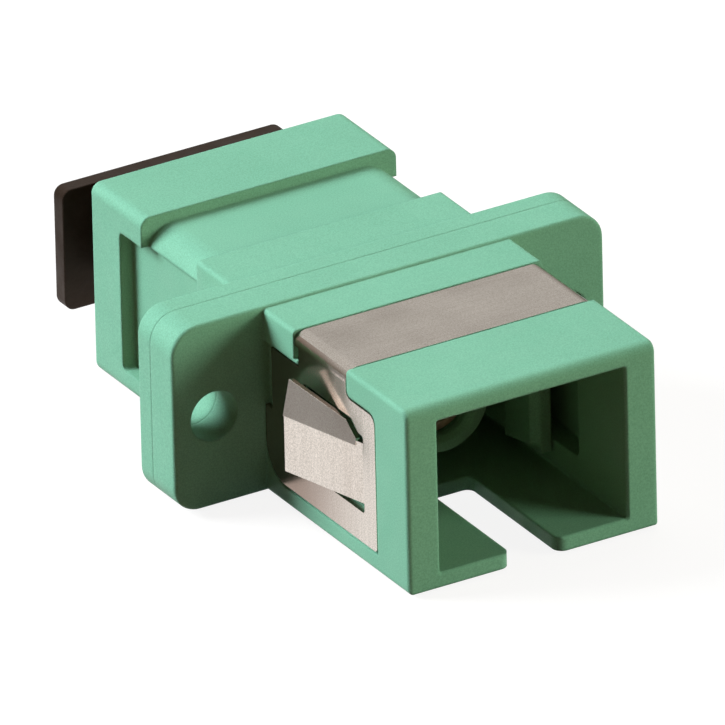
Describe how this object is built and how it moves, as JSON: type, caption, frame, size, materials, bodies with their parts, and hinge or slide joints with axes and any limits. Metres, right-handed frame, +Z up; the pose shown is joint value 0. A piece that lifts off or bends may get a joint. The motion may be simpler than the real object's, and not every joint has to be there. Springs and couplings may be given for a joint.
{
  "type": "fibre optic coupler",
  "caption": "Square-port fibre optic coupler with an eared flange, a folded steel panel clip, a split ceramic sleeve between latch inserts, and a dust cap in the rear port.",
  "frame": {"origin": "on the fibre axis in the seam of the flange, at the middle of the alignment sleeve", "axes": "+Y along the fibre axis from the open port towards the dust cap, +Z up, away from the key slots, +X along the flange"},
  "size_m": [0.0222, 0.0317, 0.0093],
  "materials": {
    "green_plastic": "moulded, satin",
    "clip_steel": "bare rolled sheet",
    "sleeve_ceramic": "ground ceramic",
    "cap_plastic": "moulded, satin"
  },
  "bodies": {
    "coupler": {"front_housing": "green_plastic", "rear_housing": "green_plastic", "mounting_clip": "clip_steel", "front_latch": "green_plastic", "rear_latch": "green_plastic", "alignment_sleeve": "sleeve_ceramic"},
    "cap": {"dust_cap": "cap_plastic"}
  },
  "joints": [
    {"name": "cap_pull", "type": "slide", "parent": "coupler", "child": "cap", "axis": [0, 1, 0], "range_m": [0, 0.01]}
  ]
}
